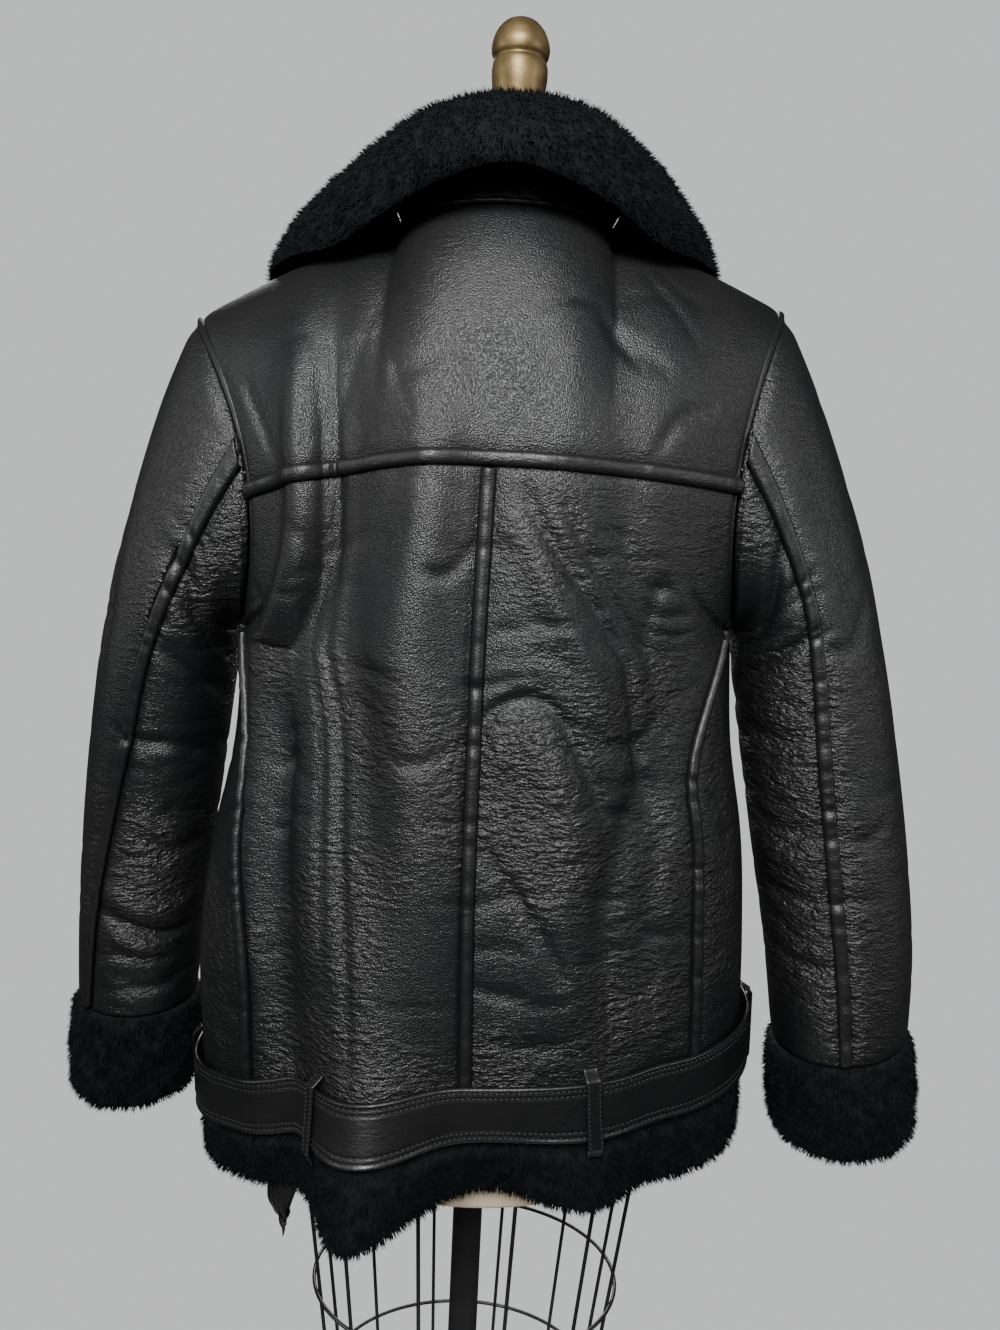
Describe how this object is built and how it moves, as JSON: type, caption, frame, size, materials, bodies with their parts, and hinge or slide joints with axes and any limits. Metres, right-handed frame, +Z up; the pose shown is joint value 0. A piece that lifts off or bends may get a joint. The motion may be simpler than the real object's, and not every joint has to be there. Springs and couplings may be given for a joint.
{
  "type": "motorcycle jacket on a dress form",
  "caption": "Fur-lined leather motorcycle jacket with a belted waist, fur collar, cuffs and hem, worn by a limbless dress form on a pole stand with a wire skirt cage.",
  "frame": {"origin": "on the floor under the middle of the stand's pole", "axes": "+Z up; the jacket's front faces -Y, so +X is the wearer's left"},
  "size_m": [0.7127, 0.38, 1.6118],
  "materials": {
    "black_leather": "grained, wrinkled, semi-gloss bonded leather",
    "belt_leather": "smooth semi-gloss leather",
    "black_fur": "short plush pile, matt",
    "zip_tape": "matt woven tape",
    "dark_metal": "darkened, satin",
    "form_cloth": "matt cream covering",
    "satin_brass": "satin, slightly aged",
    "black_paint": "gloss black paint"
  },
  "bodies": {
    "jacket_on_form": {"back_left": "black_leather", "back_right": "black_leather", "back_yoke": "black_leather", "base": "black_paint", "belt": "belt_leather", "belt_loop_back_left": "belt_leather", "belt_loop_back_right": "belt_leather", "belt_loop_front_left": "belt_leather", "belt_loop_front_right": "belt_leather", "belt_loop_side_left": "belt_leather", "belt_loop_side_right": "belt_leather", "belt_tail": "belt_leather", "buckle_frame": "dark_metal", "buckle_prong": "dark_metal", "cage_ring_1": "black_paint", "cage_ring_2": "black_paint", "cage_ring_3": "black_paint", "cage_wire_01": "black_paint", "cage_wire_02": "black_paint", "cage_wire_03": "black_paint", "cage_wire_04": "black_paint", "cage_wire_05": "black_paint", "cage_wire_06": "black_paint", "cage_wire_07": "black_paint", "cage_wire_08": "black_paint", "cage_wire_09": "black_paint", "cage_wire_10": "black_paint", "cage_wire_11": "black_paint", "cage_wire_12": "black_paint", "centre_back_welt": "black_leather", "collar_fall": "black_fur", "collar_stand": "black_leather", "cuff_left": "black_fur", "cuff_right": "black_fur", "finial": "satin_brass", "form_torso": "form_cloth", "front_left": "black_leather", "front_right": "black_leather", "hem_back": "black_fur", "hem_left": "black_fur", "hem_right": "black_fur", "lapel_left": "black_fur", "lapel_right": "black_fur", "pole": "black_paint", "side_left": "black_leather", "side_right": "black_leather", "side_welt_left": "black_leather", "side_welt_right": "black_leather", "sleeve_welt_left": "black_leather", "sleeve_welt_right": "black_leather", "under_sleeve_left": "black_leather", "under_sleeve_right": "black_leather", "upper_sleeve_left": "black_leather", "upper_sleeve_right": "black_leather", "yoke_welt": "black_leather", "zip_slider": "dark_metal", "zip_tape_left": "zip_tape", "zip_tape_right": "zip_tape"},
    "pull_tab": {"pull_tab": "dark_metal"}
  },
  "joints": [
    {"name": "pull_tab_hinge", "type": "hinge", "parent": "jacket_on_form", "child": "pull_tab", "pos_m": [0.00893, -0.1505, 1.17572], "axis": [-1, 0, 0], "range_deg": [0, 150]}
  ]
}
